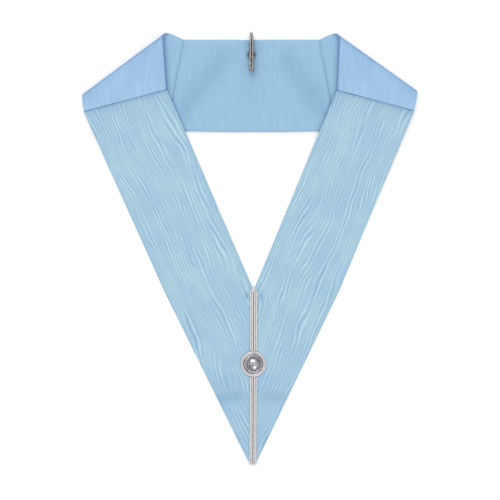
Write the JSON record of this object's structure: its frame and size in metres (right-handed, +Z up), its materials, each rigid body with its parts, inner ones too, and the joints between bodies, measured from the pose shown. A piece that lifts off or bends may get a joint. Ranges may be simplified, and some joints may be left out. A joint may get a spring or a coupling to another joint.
{
  "type": "masonic collar",
  "caption": "Pointed ribbon neck collar laid flat, with folded shoulders, a lined back strip, silver braid down the front seam, a domed button and a wire coat hook.",
  "frame": {"origin": "middle of the lying collar's length and width, on the surface that it rests on", "axes": "+Y towards the back of the neck, -Y towards the front point, +X to the right seen from above, +Z up"},
  "size_m": [0.4012, 0.5172, 0.0132],
  "materials": {
    "moire_ribbon": "watered rayon ribbon, light blue",
    "shoulder_cloth": "plain ribbed ribbon, light blue",
    "lining_cloth": "plain fine ribbed lining, light blue",
    "silver_braid": "silver metal thread braid",
    "button_metal": "polished nickel plate, darkened in the hollows",
    "hook_metal": "bent wire, dull gunmetal nickel"
  },
  "bodies": {
    "root": {"back_panel": "shoulder_cloth", "back_lining": "lining_cloth", "shoulder_panel_left": "shoulder_cloth", "shoulder_lining_left": "lining_cloth", "front_panel_left": "moire_ribbon", "shoulder_panel_right": "shoulder_cloth", "shoulder_lining_right": "lining_cloth", "front_panel_right": "moire_ribbon", "braid_upper": "silver_braid", "braid_lower_left": "silver_braid", "braid_lower_right": "silver_braid", "braid_ring": "silver_braid", "button": "button_metal", "collar_hook": "hook_metal"}
  },
  "joints": []
}
